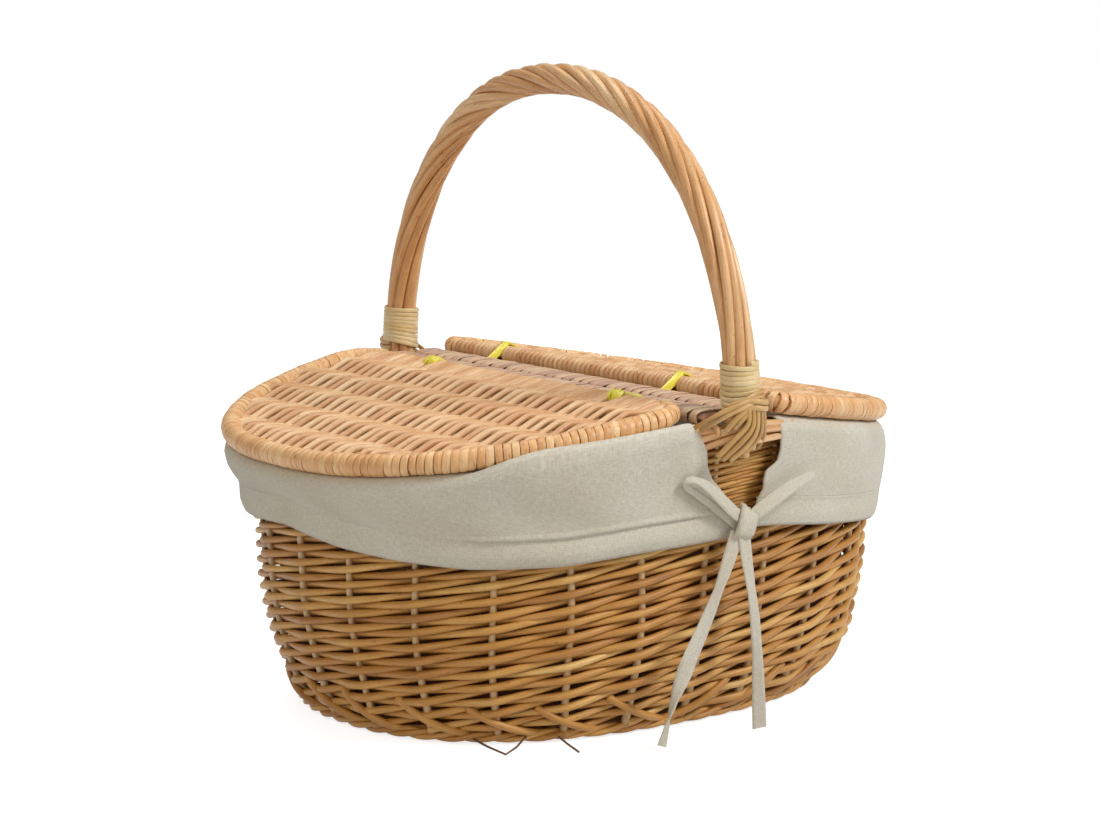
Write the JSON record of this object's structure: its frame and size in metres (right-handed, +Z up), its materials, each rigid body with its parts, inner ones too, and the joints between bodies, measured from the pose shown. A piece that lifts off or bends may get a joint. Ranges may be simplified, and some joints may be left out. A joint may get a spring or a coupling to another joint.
{
  "type": "picnic basket",
  "caption": "Oval woven willow basket with two hinged flap lids, a fixed arched roped handle over a carrying bar, and a cloth liner folded over the rim and tied with ribbon bows.",
  "frame": {"origin": "centre of the flat base, on the surface that the basket stands on", "axes": "+X along the basket's length, across the handle; +Y along the carrying bar, in the handle's plane; +Z up"},
  "size_m": [0.3968, 0.3542, 0.366],
  "materials": {
    "golden_willow": "peeled and lightly varnished willow rods, woven",
    "lid_willow": "peeled willow rods with a peach tone, woven, semi-matt",
    "handle_willow": "willow rods roped round a bow, lightly varnished",
    "peeled_rod": "plain peeled willow rod",
    "cane": "pale split cane, satin",
    "brown_skein": "flat brown willow skein, satin",
    "yellow_tie": "bright yellow binding strip",
    "linen": "natural grey-beige linen weave"
  },
  "bodies": {
    "basket": {"bar_skein_left": "brown_skein", "bar_skein_right": "brown_skein", "bar_stick_left": "brown_skein", "bar_stick_right": "brown_skein", "base_weave": "golden_willow", "foot_lashing_back_over": "cane", "foot_lashing_back_under": "cane", "foot_lashing_front_over": "cane", "foot_lashing_front_under": "cane", "handle_binding_back": "cane", "handle_binding_front": "cane", "handle_bow": "peeled_rod", "handle_roping": "handle_willow", "hinge_tie_left_back": "yellow_tie", "hinge_tie_left_front": "yellow_tie", "hinge_tie_right_back": "yellow_tie", "hinge_tie_right_front": "yellow_tie", "liner_bag": "linen", "liner_flap_left": "linen", "liner_flap_right": "linen", "ribbon_knot_back": "linen", "ribbon_knot_front": "linen", "ribbon_loop_back_left": "linen", "ribbon_loop_back_right": "linen", "ribbon_loop_front_left": "linen", "ribbon_loop_front_right": "linen", "ribbon_tail_back_left": "linen", "ribbon_tail_back_right": "linen", "ribbon_tail_front_left": "linen", "ribbon_tail_front_right": "linen", "side_weave": "golden_willow", "stakes_and_border": "golden_willow", "upsett_wale": "golden_willow"},
    "left_lid": {"lid_edge_left": "lid_willow", "lid_rib_left_1": "peeled_rod", "lid_rib_left_2": "peeled_rod", "lid_rib_left_3": "peeled_rod", "lid_rib_left_4": "peeled_rod", "lid_rib_left_5": "peeled_rod", "lid_weave_left": "lid_willow"},
    "right_lid": {"lid_edge_right": "lid_willow", "lid_rib_right_1": "peeled_rod", "lid_rib_right_2": "peeled_rod", "lid_rib_right_3": "peeled_rod", "lid_rib_right_4": "peeled_rod", "lid_rib_right_5": "peeled_rod", "lid_weave_right": "lid_willow"}
  },
  "joints": [
    {"name": "left_lid_hinge", "type": "hinge", "parent": "basket", "child": "left_lid", "pos_m": [-0.0315, 0, 0.18434], "axis": [0, 1, 0], "range_deg": [0, 105]},
    {"name": "right_lid_hinge", "type": "hinge", "parent": "basket", "child": "right_lid", "pos_m": [0.0315, 0, 0.18434], "axis": [0, -1, 0], "range_deg": [0, 105]}
  ]
}
